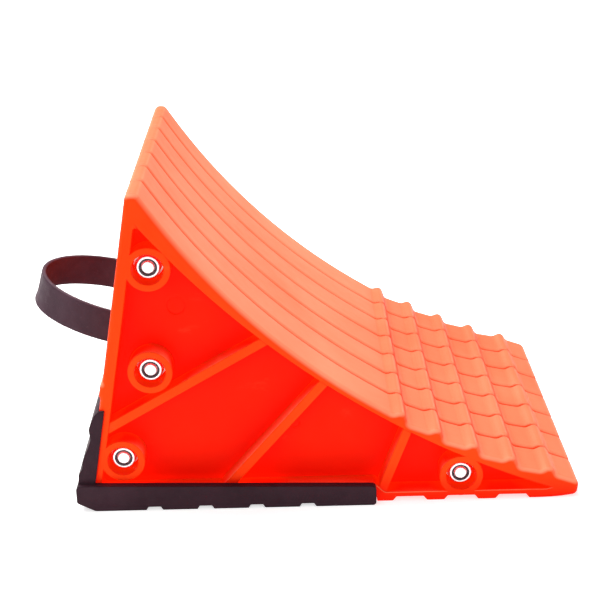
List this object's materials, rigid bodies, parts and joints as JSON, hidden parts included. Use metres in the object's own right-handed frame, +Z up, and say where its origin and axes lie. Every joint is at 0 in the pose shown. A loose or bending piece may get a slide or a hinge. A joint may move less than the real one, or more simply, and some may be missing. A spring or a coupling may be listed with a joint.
{
  "type": "wheel chock",
  "caption": "Wedge-shaped wheel chock of moulded ribs bolted side by side, with a concave tyre face, grip waves, a rubber shoe and a rubber carrying loop.",
  "frame": {"origin": "centre of the bounding box in x and y, at the ground plane under the shoe and toe", "axes": "+X from heel to toe, +Y across the chock towards the bolt heads, +Z up"},
  "size_m": [0.316, 0.205, 0.1802],
  "materials": {
    "orange_plastic": "satin moulded plastic, lightly textured",
    "shoe_rubber": "fine-grained moulded rubber",
    "loop_rubber": "smooth rubber strap",
    "zinc_steel": "bright zinc plate",
    "nylon": "smooth dark nylon"
  },
  "bodies": {
    "chock": {"segment_1": "orange_plastic", "segment_2": "orange_plastic", "segment_3": "orange_plastic", "segment_4": "orange_plastic", "segment_5": "orange_plastic", "segment_6": "orange_plastic", "segment_7": "orange_plastic", "rubber_shoe": "shoe_rubber", "bolt_top": "zinc_steel", "bolt_middle": "zinc_steel", "bolt_heel": "zinc_steel", "bolt_toe": "zinc_steel", "nut_top": "zinc_steel", "nut_middle": "zinc_steel", "nut_heel": "zinc_steel", "nut_toe": "zinc_steel", "washers_nut_side": "zinc_steel", "washers_head_side": "zinc_steel", "nylon_rings": "nylon", "shoe_screws": "zinc_steel"},
    "loop": {"carry_loop": "loop_rubber"}
  },
  "joints": [
    {"name": "loop_swing", "type": "hinge", "parent": "chock", "child": "loop", "pos_m": [-0.07651, 0, 0.0808], "axis": [0, 1, 0], "range_deg": [0, 20]}
  ]
}
